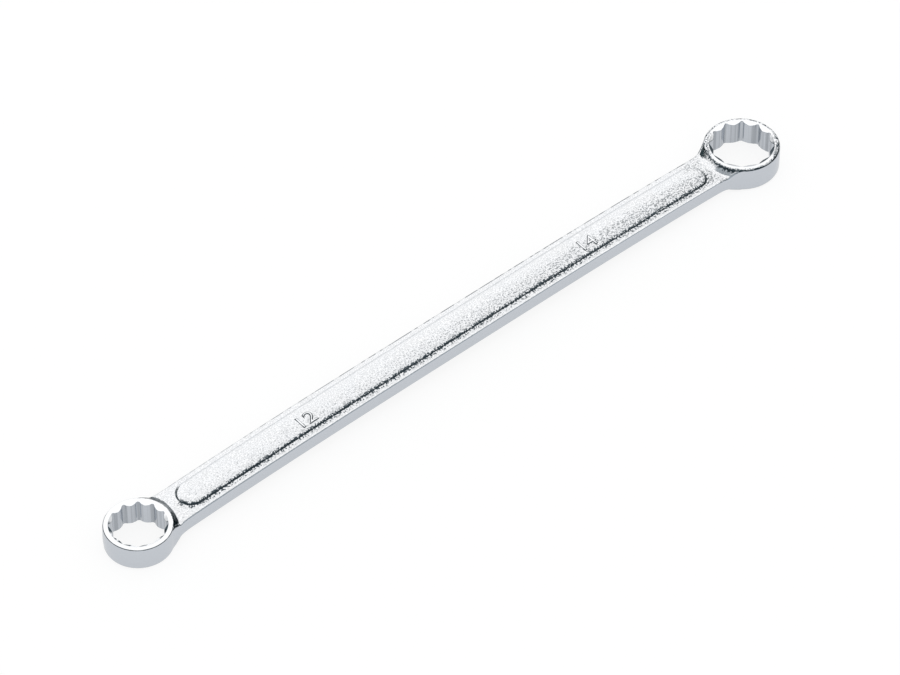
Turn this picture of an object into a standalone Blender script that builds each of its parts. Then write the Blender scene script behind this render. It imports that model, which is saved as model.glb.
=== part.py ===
"""A double ended ring spanner for 12 mm and 14 mm nuts.

The tool is one steel forging. It is modelled as its three regions, which meet face to face in the necks:
the ring for the 12 mm nut, the arched shank with its raised panels, and the ring for the 14 mm nut.
The shank lies along X, the 12 mm ring is at -X, and both rings rest with their undersides on Z = 0.
"""
import math
from collections import namedtuple

import bmesh
import bpy
from mathutils import Vector

MM = 0.001

# Driving dimensions of the rings
RING_DISTANCE = 193.5 * MM
NUT_12_FLATS = 12.0 * MM
NUT_14_FLATS = 14.0 * MM
RING_12_WALL = 1.5 * MM
RING_14_WALL = 1.54 * MM
RING_12_THICKNESS = 6.5 * MM
RING_14_THICKNESS = 6.8 * MM
RING_12_RIM = 0.3 * MM
RING_14_RIM = 1.1 * MM
RING_12_DRAFT = 0.16 * MM
RING_14_DRAFT = 0.04 * MM
RING_FOOT = 0.6 * MM
BORE_CLEARANCE = 0.1 * MM
BORE_CORNER_RADIUS = 0.35 * MM
BORE_TOOTH_RADIUS = 0.5 * MM
MOUTH_DEPTH = 0.35 * MM

# Turn of each bore from a tooth on the shank's axis, in degrees
BORE_12_TURN = 6.8
BORE_14_TURN = 1.5

# Driving dimensions of the shank, whose middle is arched above the rings
SHANK_WIDTH = 11.2 * MM
SHANK_THICKNESS = 4.1 * MM
SHANK_LEVEL = 2.75 * MM
SHANK_ARCH = 1.9 * MM
SHANK_EDGE_RADIUS = 0.65 * MM
NECK_12_FILLET = 16.0 * MM
NECK_14_FILLET = 12.5 * MM
NECK_BITE = 0.05 * MM
NECK_LENGTH = 2.0 * MM
NECK_ROOT = 0.3 * MM

# The slopes that climb from each neck to the faces of its ring: run, hollow radius, depth of the top under the face
SLOPE_12_RUN = 1.2 * MM
SLOPE_14_RUN = 0.8 * MM
SLOPE_12_HOLLOW = 0.9 * MM
SLOPE_14_HOLLOW = 1.3 * MM
SLOPE_12_STEP = 0.08 * MM
SLOPE_14_STEP = 0.55 * MM

# Steepest tilt of each slope, in degrees
SLOPE_12_TILT = 38
SLOPE_14_TILT = 50

# The raised panel along each face of the shank
PANEL_WIDTH = 7.8 * MM
PANEL_GAP = 3.64 * MM
PANEL_WALL = 0.45 * MM
PANEL_DRAFT = 0.55 * MM
PANEL_CROWN = 0.3 * MM
PANEL_RIDGE = 0.2 * MM

# The raised size figures on the upper panel, placed from the centres of their rings
FIGURE_HEIGHT = 3.5 * MM
FIGURE_WIDTH = 4.8 * MM
FIGURE_RELIEF = 0.15 * MM
FIGURE_ROOT = 0.2 * MM
FIGURE_OFFSET = 0.7 * MM
FIGURE_12_PLACE = 50.7 * MM
FIGURE_14_PLACE = 52.8 * MM

# Working lengths of cuts, welds and stations
OVERRUN = 1.0 * MM
WELD = 0.002 * MM
STATION_SNAP = 0.1 * MM

# Counts, angles and shares
RING_STEPS = 72
EDGE_STEPS = 3
NECK_STEPS = 10
NECK_ACROSS = 12
PANEL_END_STEPS = 12
PANEL_LEVELS = 5
BEND_STEPS = 2
FLAT_STEPS = 2
FLARE_STEPS = 4
ARCH_STATIONS = 26
ARCH_POWER = 3
STAR_TEETH = 12
HEXAGON_SIDES = 6
SMOOTH_ANGLE = math.radians(32)
CAP_HEIGHT_SHARE = 0.69
FIGURE_SPACING_SHARE = 1.05

Head = namedtuple("Head", "name size corner tooth radius thickness rim draft turn centre inward fillet slope "
                          "figure_place")
Slope = namedtuple("Slope", "run hollow step tilt")


def bore_radii(flats):
    """Radius to the corners and to the teeth of the twelve pointed bore that takes a nut of this size."""
    apothem = (flats + BORE_CLEARANCE) / 2
    return apothem / math.cos(math.pi / HEXAGON_SIDES), apothem / math.cos(math.pi / STAR_TEETH)


# Each ring is as large as its bore and its wall make it
CORNER_12, TOOTH_12 = bore_radii(NUT_12_FLATS)
CORNER_14, TOOTH_14 = bore_radii(NUT_14_FLATS)
RADIUS_12 = CORNER_12 + RING_12_WALL
RADIUS_14 = CORNER_14 + RING_14_WALL
LENGTH = RING_DISTANCE + RADIUS_12 + RADIUS_14
SLOPE_12 = Slope(SLOPE_12_RUN, SLOPE_12_HOLLOW, SLOPE_12_STEP, math.radians(SLOPE_12_TILT))
SLOPE_14 = Slope(SLOPE_14_RUN, SLOPE_14_HOLLOW, SLOPE_14_STEP, math.radians(SLOPE_14_TILT))
HEAD_12 = Head("ring_head_12", "12", CORNER_12, TOOTH_12, RADIUS_12, RING_12_THICKNESS, RING_12_RIM, RING_12_DRAFT,
               BORE_12_TURN, RADIUS_12 - LENGTH / 2, 1, NECK_12_FILLET, SLOPE_12, FIGURE_12_PLACE)
HEAD_14 = Head("ring_head_14", "14", CORNER_14, TOOTH_14, RADIUS_14, RING_14_THICKNESS, RING_14_RIM, RING_14_DRAFT,
               BORE_14_TURN, LENGTH / 2 - RADIUS_14, -1, NECK_14_FILLET, SLOPE_14, FIGURE_14_PLACE)

SHANK_BOTTOM = SHANK_LEVEL - SHANK_THICKNESS / 2
SHANK_TOP = SHANK_LEVEL + SHANK_THICKNESS / 2
SHANK_MIDDLE = (HEAD_12.centre + HEAD_14.centre) / 2

CHROME_BRIGHT = (0.78, 0.79, 0.81, 1.0)
CHROME_SATIN = (0.70, 0.71, 0.73, 1.0)
RING_ROUGHNESS = 0.16
SHANK_ROUGHNESS = 0.28


def clear_scene():
    for item in list(bpy.data.objects):
        bpy.data.objects.remove(item, do_unlink=True)


def new_collection(name):
    group = bpy.data.collections.new(name)
    bpy.context.scene.collection.children.link(group)
    return group


def steel(name, colour, roughness):
    material = bpy.data.materials.new(name)
    material.use_nodes = True
    shader = material.node_tree.nodes["Principled BSDF"]
    shader.inputs["Base Color"].default_value = colour
    shader.inputs["Metallic"].default_value = 1.0
    shader.inputs["Roughness"].default_value = roughness
    return material


def put(name, data, group):
    item = bpy.data.objects.new(name, data)
    group.objects.link(item)
    return item


def baked(item, in_triangles=False):
    """The object's mesh as its modifiers leave it, welded and in world space. The object is removed."""
    bpy.context.view_layer.update()
    depsgraph = bpy.context.evaluated_depsgraph_get()
    mesh = bpy.data.meshes.new_from_object(item.evaluated_get(depsgraph))
    bm = bmesh.new()
    bm.from_mesh(mesh)
    bm.transform(item.matrix_world)
    bmesh.ops.remove_doubles(bm, verts=bm.verts, dist=WELD)
    if in_triangles:
        bmesh.ops.triangulate(bm, faces=bm.faces)
    bmesh.ops.recalc_face_normals(bm, faces=bm.faces)
    bm.to_mesh(mesh)
    bm.free()
    bpy.data.objects.remove(item, do_unlink=True)
    return mesh


def join(item, tool, operation):
    boolean = item.modifiers.new(tool.name, "BOOLEAN")
    boolean.operation = operation
    boolean.solver = "EXACT"
    boolean.object = tool
    tool.display_type = "WIRE"
    tool.hide_render = True


def turned(name, profile, centre, group):
    """A solid turned about the upright axis at x = centre, from (radius, height) points, top to bottom."""
    mesh = bpy.data.meshes.new(name)
    points = [(radius, 0, height) for radius, height in profile]
    mesh.from_pydata(points, [(i, i + 1) for i in range(len(points) - 1)], [])
    item = put(name, mesh, group)
    item.location.x = centre
    screw = item.modifiers.new("turn", "SCREW")
    screw.steps = RING_STEPS
    screw.render_steps = RING_STEPS
    screw.use_merge_vertices = True
    screw.merge_threshold = WELD
    return put(name, baked(item), group)


def lofted(name, loops, group, in_triangles=False, ends=None):
    """A solid skinned through closed loops of as many points each. Each end is closed by one face, or by the
    faces that ends lists as the numbers of their points."""
    bm = bmesh.new()
    rings = [[bm.verts.new(point) for point in loop] for loop in loops]
    for lower, upper in zip(rings, rings[1:]):
        for i in range(len(lower)):
            bm.faces.new((lower[i - 1], lower[i], upper[i], upper[i - 1]))
    for ring in (rings[0], rings[-1]):
        for face in ends or [range(len(ring))]:
            bm.faces.new([ring[i] for i in face])
    if in_triangles:
        bmesh.ops.triangulate(bm, faces=bm.faces)
    bmesh.ops.recalc_face_normals(bm, faces=bm.faces)
    mesh = bpy.data.meshes.new(name)
    bm.to_mesh(mesh)
    bm.free()
    return put(name, mesh, group)


def arc(centre, radius, start, end, steps):
    """Points on an arc between two angles in degrees, both ends included."""
    points = []
    for i in range(steps + 1):
        angle = math.radians(start + (end - start) * i / steps)
        points.append((centre[0] + radius * math.cos(angle), centre[1] + radius * math.sin(angle)))
    return points


def rounded(corners, radii):
    """A closed outline whose corners are rounded, each by its own radius, and whose straights are divided."""
    bends = []
    for i, corner in enumerate(corners):
        here = Vector(corner)
        back = (Vector(corners[i - 1]) - here).normalized()
        ahead = (Vector(corners[(i + 1) % len(corners)]) - here).normalized()
        half = back.angle(ahead) / 2
        reach = radii[i] / math.tan(half)
        middle = here + (back + ahead).normalized() * radii[i] / math.sin(half)
        first = here + back * reach - middle
        last = here + ahead * reach - middle
        spokes = [first.slerp(last, step / BEND_STEPS) for step in range(BEND_STEPS + 1)]
        bends.append([middle + spoke * radii[i] for spoke in spokes])
    outline = []
    for bend, following in zip(bends, bends[1:] + bends[:1]):
        outline += bend
        for step in range(1, FLAT_STEPS):
            outline.append(bend[-1].lerp(following[0], step / FLAT_STEPS))
    return outline


def star_outline(head):
    """The bore's plan about the ring's own centre: two crossed hexagons with rounded corners and teeth."""
    corners = []
    radii = []
    pitch = 2 * math.pi / STAR_TEETH
    for i in range(STAR_TEETH):
        at_tooth = math.radians(head.turn) + i * pitch
        at_corner = at_tooth + pitch / 2
        corners.append((head.tooth * math.cos(at_tooth), head.tooth * math.sin(at_tooth)))
        radii.append(BORE_TOOTH_RADIUS)
        corners.append((head.corner * math.cos(at_corner), head.corner * math.sin(at_corner)))
        radii.append(BORE_CORNER_RADIUS)
    return rounded(corners, radii)


def bore_cutter(head, group):
    """The twelve pointed bore. A cone bevels both mouths, deepest at the teeth and faint at the corners."""
    slope = MOUTH_DEPTH / (head.corner - head.tooth)
    widest = head.corner + OVERRUN / slope
    loops = [[], [], [], []]
    for spoke in star_outline(head):
        depth = (head.corner - spoke.length) * slope
        points = ((widest, -OVERRUN), (spoke.length, depth), (spoke.length, head.thickness - depth),
                  (widest, head.thickness + OVERRUN))
        for loop, (radius, height) in zip(loops, points):
            out = spoke.normalized() * radius
            loop.append((head.centre + out.x, out.y, height))
    return lofted("bore_" + head.size, loops, group, in_triangles=True)


def ring_blank(head, group):
    """The ring before boring: a round disc with rounded rims, whose wall is widest half way up."""
    wall = head.radius - head.draft
    upper = arc((wall - head.rim, head.thickness - head.rim), head.rim, 90, 0, EDGE_STEPS)
    lower = arc((wall - RING_FOOT, RING_FOOT), RING_FOOT, 0, -90, EDGE_STEPS)
    middle = (head.radius, head.thickness / 2)
    profile = [(0, head.thickness)] + upper + [middle] + lower + [(0, 0)]
    return turned("blank_" + head.size, profile, head.centre, group)


def fillet_centre(head):
    """Centre of the round hollow between the shank's side and the ring's wall, from the ring's centre."""
    up = SHANK_WIDTH / 2 + head.fillet
    along = math.sqrt((head.radius - NECK_BITE + head.fillet) ** 2 - up ** 2)
    return along, up


def bar_side(head, inset):
    """Half the plan of the shank's end, drawn in by the inset, from the butt face to the straight."""
    along, up = fillet_centre(head)
    first = head.radius + NECK_LENGTH
    last = max(along, first) + NECK_ROOT
    points = []
    for i in range(FLARE_STEPS + 1):
        reach = first + (last - first) * i / FLARE_STEPS
        flare = max(0, along - reach)
        points.append((head.centre + head.inward * reach, up - math.sqrt(head.fillet ** 2 - flare ** 2) - inset))
    return points


def bar_outline(inset):
    back = bar_side(HEAD_12, inset) + bar_side(HEAD_14, inset)[::-1]
    front = [(x, -y) for x, y in reversed(back)]
    return back + front


def plain_bar(group):
    """The bar with its rounded edges, from butt face to butt face, before it is arched."""
    edge = SHANK_EDGE_RADIUS
    lower = arc((edge, SHANK_BOTTOM + edge), edge, -90, -180, EDGE_STEPS)
    upper = arc((edge, SHANK_TOP - edge), edge, 180, 90, EDGE_STEPS)
    loops = [[(x, y, z) for x, y in bar_outline(inset)] for inset, z in lower + upper]
    return lofted("bar", loops, group)


def panel_ends():
    """Centres of the two round ends of the panel."""
    first = HEAD_12.centre + HEAD_12.radius + PANEL_GAP + PANEL_WIDTH / 2
    last = HEAD_14.centre - HEAD_14.radius - PANEL_GAP - PANEL_WIDTH / 2
    return first, last


def panel_height(radius):
    """Height of the panel's crowned top over the flat of the shank, at a distance from its middle line."""
    edge = PANEL_WIDTH / 2 - PANEL_DRAFT
    return PANEL_WALL + PANEL_CROWN * (1 - (radius / edge) ** 2)


def panel(side, group):
    """A long raised panel with round ends and a crowned top, lofted through outlines that grow narrower."""
    first, last = panel_ends()
    outer = PANEL_WIDTH / 2
    edge = outer - PANEL_DRAFT
    levels = [(outer, -OVERRUN), (outer, 0)]
    for i in range(PANEL_LEVELS + 1):
        radius = edge + (PANEL_RIDGE - edge) * i / PANEL_LEVELS
        levels.append((radius, panel_height(radius)))
    base = SHANK_LEVEL + side * SHANK_THICKNESS / 2
    loops = []
    for radius, height in levels:
        outline = arc((last, 0), radius, -90, 90, PANEL_END_STEPS)
        outline += arc((first, 0), radius, 90, 270, PANEL_END_STEPS)
        loops.append([(x, y, base + side * height) for x, y in outline])
    return lofted("panel_top" if side > 0 else "panel_underside", loops, group)


def figures(head, group):
    """The nut size in raised figures, which follow the panel's crown."""
    name = "figures_" + head.size
    text = bpy.data.curves.new(name, "FONT")
    text.body = head.size
    text.size = FIGURE_HEIGHT / CAP_HEIGHT_SHARE
    text.space_character = FIGURE_SPACING_SHARE
    text.resolution_u = BEND_STEPS
    item = put(name, text, group)
    mesh = baked(item)
    bm = bmesh.new()
    bm.from_mesh(mesh)
    left = min(vertex.co.x for vertex in bm.verts)
    right = max(vertex.co.x for vertex in bm.verts)
    middle = head.centre + head.inward * head.figure_place
    for vertex in bm.verts:
        vertex.co.x = middle + (vertex.co.x - (left + right) / 2) * FIGURE_WIDTH / (right - left)
        vertex.co.y -= FIGURE_OFFSET + FIGURE_HEIGHT / 2
    inner = [edge for edge in bm.edges if not edge.is_boundary]
    bmesh.ops.delete(bm, geom=bm.faces[:], context="FACES_ONLY")
    bmesh.ops.delete(bm, geom=inner, context="EDGES")
    bmesh.ops.triangle_fill(bm, use_beauty=True, edges=bm.edges[:])
    for vertex in bm.verts:
        vertex.co.z = SHANK_TOP + panel_height(vertex.co.y) + FIGURE_RELIEF
    sunk = bmesh.ops.extrude_face_region(bm, geom=bm.faces[:])
    for piece in sunk["geom"]:
        if isinstance(piece, bmesh.types.BMVert):
            piece.co.z -= FIGURE_RELIEF + FIGURE_ROOT
    bmesh.ops.recalc_face_normals(bm, faces=bm.faces)
    bm.to_mesh(mesh)
    bm.free()
    return put(name, mesh, group)


def arch(x):
    """Rise of the shank at x over its level at the rings."""
    share = abs(x - SHANK_MIDDLE) / (RING_DISTANCE / 2)
    return SHANK_ARCH * (1 - share ** ARCH_POWER)


def butt(head):
    """Place along X of the flat face where a ring head meets the shank."""
    return head.centre + head.inward * (head.radius + NECK_LENGTH)


def arched(mesh):
    """The mesh cut across at even stations from butt face to butt face, and raised along the arch."""
    first, last = butt(HEAD_12), butt(HEAD_14)
    bm = bmesh.new()
    bm.from_mesh(mesh)
    for i in range(ARCH_STATIONS + 1):
        x = first + (last - first) * i / ARCH_STATIONS
        snap = WELD if i in (0, ARCH_STATIONS) else STATION_SNAP
        everything = bm.verts[:] + bm.edges[:] + bm.faces[:]
        bmesh.ops.bisect_plane(bm, geom=everything, dist=snap, plane_co=(x, 0, 0), plane_no=(1, 0, 0))
    bmesh.ops.triangulate(bm, faces=bm.faces)
    for vertex in bm.verts:
        vertex.co.z += arch(vertex.co.x)
    bm.to_mesh(mesh)
    bm.free()
    return mesh


def climb(head, reach):
    """Rise of the neck's slope at a distance from the ring's centre, over the neck beside it."""
    slope = head.slope
    short = max(0, head.radius + slope.run - reach)
    hollow = min(short, slope.hollow * math.sin(slope.tilt))
    rise = slope.hollow - math.sqrt(slope.hollow ** 2 - hollow ** 2)
    return rise + (short - hollow) * math.tan(slope.tilt)


def neck_section(head, axis_reach, side_reach, half_width, draft):
    """A closed outline round the neck, bowed in plan from its sides to a point on its axis."""
    edge = SHANK_EDGE_RADIUS
    spread = [2 * i / NECK_ACROSS - 1 for i in range(NECK_ACROSS + 1)]
    flat = half_width - draft - edge
    plan = [(axis_reach + (side_reach - axis_reach) * share ** 2, flat * share) for share in spread]
    top = []
    bottom = []
    for reach, y in plan:
        rise = climb(head, math.hypot(reach, y))
        lift = arch(head.centre + head.inward * reach)
        top.append((reach, y, min(SHANK_TOP + lift + rise, head.thickness - head.slope.step)))
        bottom.append((reach, y, max(SHANK_BOTTOM + lift - rise, RING_FOOT / 2)))
    high, low = top[-1][2], bottom[-1][2]
    side = arc((flat, high - edge), edge, 90, 0, EDGE_STEPS)[1:]
    side.append((half_width, (high + low) / 2))
    side += arc((flat, low + edge), edge, 0, -90, EDGE_STEPS)[:-1]
    back = [(side_reach, y, z) for y, z in side]
    front = [(side_reach, -y, z) for y, z in reversed(side)]
    points = top + back + bottom[::-1] + front
    return [(head.centre + head.inward * x, y, z) for x, y, z in points]


def neck_ends():
    """The faces that close an end of the neck: strips from its top to its bottom, and its two rounded sides."""
    side = 2 * EDGE_STEPS + 1
    last = 2 * NECK_ACROSS + 1 + side
    faces = [(i, i + 1, last - i - 1, last - i) for i in range(NECK_ACROSS)]
    for first in (NECK_ACROSS, last):
        points = [i % (last + side + 1) for i in range(first, first + side + 2)]
        middle = EDGE_STEPS + 1
        faces += [points[:middle + 1], points[middle:], (points[0], points[middle], points[-1])]
    return faces


def neck(head, group):
    """The neck from the butt face to its root within the ring's wall."""
    butt_reach = head.radius + NECK_LENGTH
    root_reach = (head.corner + head.radius) / 2
    along, up = fillet_centre(head)
    lean = math.degrees(math.atan2(up, along))
    flare = max(0, along - butt_reach)
    side = arc((along, up), head.fillet, -90 - math.degrees(math.asin(flare / head.fillet)), lean - 180, NECK_STEPS)
    side[0] = (butt_reach, side[0][1])
    root = head.radius - NECK_BITE - NECK_ROOT
    side.append((root * math.cos(math.radians(lean)), root * math.sin(math.radians(lean))))
    loops = []
    for i, (reach, half_width) in enumerate(side):
        share = min(1, i / NECK_STEPS)
        axis_reach = butt_reach + (root_reach - butt_reach) * share
        loops.append(neck_section(head, axis_reach, reach, half_width, head.draft * share))
    return lofted("neck_" + head.size, loops, group, in_triangles=True, ends=neck_ends())


def forged_bar(tools):
    """The shank with its panels and figures, arched."""
    bar = plain_bar(tools)
    for side in (1, -1):
        join(bar, panel(side, tools), "UNION")
    for head in (HEAD_12, HEAD_14):
        join(bar, figures(head, tools), "UNION")
    return arched(baked(bar))


def bored_ring(head, tools):
    ring = ring_blank(head, tools)
    join(ring, bore_cutter(head, tools), "DIFFERENCE")
    return put("ring_" + head.size, baked(ring, in_triangles=True), tools)


def ring_head(head, group, tools):
    """The ring and its neck as far as the butt face. The neck is rooted within the ring's wall."""
    item = neck(head, tools)
    join(item, bored_ring(head, tools), "UNION")
    return put(head.name, baked(item), group)


def finish(item, material):
    item.data.materials.clear()
    item.data.materials.append(material)
    item.data.shade_smooth()
    item.data.set_sharp_from_angle(angle=SMOOTH_ANGLE)


def main():
    clear_scene()
    group = new_collection("ring_spanner")
    tools = new_collection("cutters")
    shank = put("shank", forged_bar(tools), group)
    finish(shank, steel("satin_chrome_shank", CHROME_SATIN, SHANK_ROUGHNESS))
    for head in (HEAD_12, HEAD_14):
        item = ring_head(head, group, tools)
        finish(item, steel("bright_chrome_" + head.size, CHROME_BRIGHT, RING_ROUGHNESS))


main()
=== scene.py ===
"""A chrome-plated ring spanner for 12 mm and 14 mm nuts, on a pale studio floor."""
import math
from collections import namedtuple

import bmesh
import bpy
from mathutils import Matrix, Vector

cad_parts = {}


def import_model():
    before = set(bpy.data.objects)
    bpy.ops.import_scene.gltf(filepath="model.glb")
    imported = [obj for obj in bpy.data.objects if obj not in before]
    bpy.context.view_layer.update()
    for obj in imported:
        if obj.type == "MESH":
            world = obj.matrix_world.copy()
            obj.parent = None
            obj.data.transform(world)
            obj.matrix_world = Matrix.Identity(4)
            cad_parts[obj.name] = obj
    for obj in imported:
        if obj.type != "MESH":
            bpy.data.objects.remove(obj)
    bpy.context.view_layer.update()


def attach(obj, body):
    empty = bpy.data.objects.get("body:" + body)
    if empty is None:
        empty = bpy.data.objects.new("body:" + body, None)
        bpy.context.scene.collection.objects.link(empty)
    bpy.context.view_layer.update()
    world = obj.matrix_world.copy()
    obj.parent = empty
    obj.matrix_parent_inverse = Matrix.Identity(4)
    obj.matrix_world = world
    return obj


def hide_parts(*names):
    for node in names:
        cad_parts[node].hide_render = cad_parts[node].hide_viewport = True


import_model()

MM = 0.001

# The forging's sizes. They are those of the CAD, apart from the rings' rims, mouths and pockets, the slopes of the
# necks and the crown and border of the panel, which are finer here. The rings' walls lie 0.005 mm inside the CAD's.
RING_DISTANCE = 193.5 * MM
BORE_CLEARANCE = 0.1 * MM
POCKET_RADIUS = 0.7 * MM
POCKET_DEPTH = 0.03 * MM
NOSE_FLAT = 0.06 * MM
MOUTH_MARGIN = 0.08 * MM
MOUTH_DEPTH = 0.52 * MM
SHANK_WIDTH = 11.2 * MM
SHANK_THICKNESS = 4.1 * MM
SHANK_LEVEL = 2.75 * MM
SHANK_ARCH = 1.9 * MM
SHANK_EDGE = 0.65 * MM
NECK_BITE = 0.05 * MM
NECK_LENGTH = 2.0 * MM
PANEL_WIDTH = 7.8 * MM
PANEL_GAP = 3.64 * MM
PANEL_WALL = 0.6 * MM
PANEL_CROWN = 0.145 * MM
PANEL_RIM = 1.1 * MM
PANEL_FOOT = 0.4 * MM
PANEL_TILT = 52
RAMP_SINK = 0.01 * MM
DIP_RUN = 1.2 * MM
NECK_ROOT = 0.3 * MM
WELD = 0.0005 * MM

# The raised size figures, placed from the centres of their rings
FIGURE_HEIGHT = 3.5 * MM
FIGURE_WIDTH = 4.8 * MM
FIGURE_RELIEF = 0.15 * MM
FIGURE_ROUND = 0.3 * MM
FIGURE_OFFSET = 0.7 * MM
FIGURE_12_PLACE = 50.7 * MM
FIGURE_14_PLACE = 52.8 * MM
CAP_SHARE = 0.69

# How finely each surface is divided
TURN_STEPS = 480
ROUND_STEPS = 6
BORE_ROWS = 6
WALL_ROWS = 8
SIDE_STATIONS = 170
CORNER_STEPS = 8
END_STEPS = 8
CROWN_ROWS = 8
FLANGE_ROWS = 4
RIM_ROWS = 10
NECK_STATIONS = 40
NECK_ACROSS = 32
SIDE_ROWS = 4

# The two heads, with angles in degrees. Turn is the bore's, inward is the way to the shank along X, bulge is how far
# the wall leans in, fillet is the neck's flare, lip rounds the mouths and under is the depth of the lower bevel.
Head = namedtuple("Head", "node size flats wall top edge foot bulge turn inward fillet lip under ramp_start "
                          "ramp_tilt ramp_bend ramp_hollow ramp_dip")
HEAD_12 = Head(node="ring_head_12", size="12", flats=12.0 * MM, wall=1.495 * MM, top=6.5 * MM, edge=0.3 * MM,
               foot=0.6 * MM, bulge=0.16 * MM, turn=6.8, inward=1, fillet=16.0 * MM, lip=0.06 * MM, under=0.12 * MM,
               ramp_start=7.95 * MM, ramp_tilt=42, ramp_bend=0.5 * MM, ramp_hollow=1.0 * MM, ramp_dip=0.04 * MM)
HEAD_14 = Head(node="ring_head_14", size="14", flats=14.0 * MM, wall=1.535 * MM, top=6.8 * MM, edge=0.7 * MM,
               foot=0.6 * MM, bulge=0.04 * MM, turn=1.5, inward=-1, fillet=12.5 * MM, lip=0.12 * MM, under=0.3 * MM,
               ramp_start=9.25 * MM, ramp_tilt=40, ramp_bend=0.3 * MM, ramp_hollow=1.0 * MM, ramp_dip=0.0)


def corner_radius(head):
    return (head.flats + BORE_CLEARANCE) / 2 / math.cos(math.pi / 6)


def tooth_radius(head):
    return (head.flats + BORE_CLEARANCE) / 2 / math.cos(math.pi / 12)


def ring_radius(head):
    return corner_radius(head) + head.wall


LENGTH = RING_DISTANCE + ring_radius(HEAD_12) + ring_radius(HEAD_14)


def centre(head):
    return -head.inward * (LENGTH / 2 - ring_radius(head))


MIDDLE = (centre(HEAD_12) + centre(HEAD_14)) / 2


def arch(x):
    return SHANK_ARCH * (1 - abs((x - MIDDLE) / (RING_DISTANCE / 2)) ** 3)


def bend(centre_at, radius, start, end, steps):
    """Points on an arc between two angles in degrees."""
    angles = [math.radians(start + (end - start) * i / steps) for i in range(steps + 1)]
    return [(centre_at[0] + radius * math.cos(a), centre_at[1] + radius * math.sin(a)) for a in angles]


def lofted(name, loops, ends):
    """A skin grown by extruding the edge of a circle from one outline to the next. Its ends are "joined" to each
    other, or it has a "first" or "both" of them filled, where an end with no height is welded shut."""
    bpy.ops.object.select_all(action="DESELECT")
    bpy.ops.mesh.primitive_circle_add(vertices=len(loops[0]), radius=MM)
    item = bpy.context.object
    item.name = name
    item.data.name = name
    bpy.ops.object.mode_set(mode="EDIT")
    bpy.ops.mesh.select_all(action="SELECT")
    mesh = bmesh.from_edit_mesh(item.data)
    spot = mesh.verts.layers.int.new("spot")
    for i, vertex in enumerate(mesh.verts):
        vertex[spot] = i
    for number, loop in enumerate(loops + loops[:1] if ends == "joined" else loops):
        if number:
            bpy.ops.mesh.extrude_edges_move()
        mesh = bmesh.from_edit_mesh(item.data)
        spot = mesh.verts.layers.int["spot"]
        for vertex in mesh.verts:
            if vertex.select:
                vertex.co = loop[vertex[spot]]
        bmesh.update_edit_mesh(item.data)
    if ends == "both":
        bpy.ops.mesh.edge_face_add()
    bpy.ops.mesh.select_all(action="SELECT")
    bpy.ops.mesh.remove_doubles(threshold=WELD)
    if ends != "joined":
        bpy.ops.mesh.select_all(action="DESELECT")
        bpy.ops.mesh.select_non_manifold()
        bpy.ops.mesh.edge_face_add()
    bpy.ops.mesh.select_all(action="SELECT")
    bpy.ops.mesh.normals_make_consistent(inside=False)
    bpy.ops.object.mode_set(mode="OBJECT")
    item.data.attributes.remove(item.data.attributes["spot"])
    item.matrix_world = Matrix.Identity(4)
    return item


def bore_reach(head, angle):
    """Radius of the twelve pointed bore at an angle: crossed hexagons with a round pocket in each corner."""
    flat = (head.flats + BORE_CLEARANCE) / 2
    pitch = math.pi / 6
    off = (angle - math.radians(head.turn)) % pitch - pitch / 2
    star = flat / math.cos(pitch - abs(off))
    tooth = tooth_radius(head)
    star = max(star, tooth + NOSE_FLAT)
    middle = corner_radius(head) + POCKET_DEPTH - POCKET_RADIUS
    reach = POCKET_RADIUS ** 2 - (middle * math.sin(off)) ** 2
    if reach <= 0:
        return star
    return max(star, middle * math.cos(off) + math.sqrt(reach))


def ring(head):
    """The bored ring, grown from the mouth down the bore, along the underside and up the wall to the face."""
    angles = [2 * math.pi * i / TURN_STEPS for i in range(TURN_STEPS)]
    bore = [bore_reach(head, a) for a in angles]
    mouth = corner_radius(head) + MOUTH_MARGIN
    reach = mouth - tooth_radius(head)
    short = [max(0.0, mouth - r - head.lip) / reach for r in bore]
    upper = [head.top - MOUTH_DEPTH * s - head.lip for s in short]
    lower = [head.under * s + head.lip for s in short]
    rows = [([mouth] * TURN_STEPS, [head.top] * TURN_STEPS)]
    lip = bend((head.lip, 0), head.lip, 90, 180, ROUND_STEPS)
    for x, z in lip:
        rows.append(([r + x for r in bore], [h + z for h in upper]))
    for i in range(1, BORE_ROWS):
        rows.append((bore, [h + (l - h) * i / BORE_ROWS for h, l in zip(upper, lower)]))
    for x, z in reversed(lip):
        rows.append(([r + x for r in bore], [l - z for l in lower]))
    rows.append(([mouth] * TURN_STEPS, [0.0] * TURN_STEPS))
    rim = ring_radius(head) - head.bulge
    low, high = head.foot, head.top - head.edge
    profile = bend((rim - head.foot, low), head.foot, -90, 0, ROUND_STEPS)
    profile += [(rim, low + (high - low) * i / WALL_ROWS) for i in range(1, WALL_ROWS)]
    profile += bend((rim - head.edge, high), head.edge, 0, 90, 2 * ROUND_STEPS)
    for radius, z in profile:
        rows.append(([radius + head.bulge - wall_draft(head, z)] * TURN_STEPS, [z] * TURN_STEPS))
    loops = []
    for radii, heights in rows:
        loops.append([Vector((centre(head) + r * math.cos(a), r * math.sin(a), z))
                      for a, r, z in zip(angles, radii, heights)])
    return lofted("ring_" + head.size, loops, "joined")


def wall_draft(head, z):
    """How far the forging's wall leans in at a height from where it is widest, half way up."""
    return head.bulge * (2 * z / head.top - 1) ** 2


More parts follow.
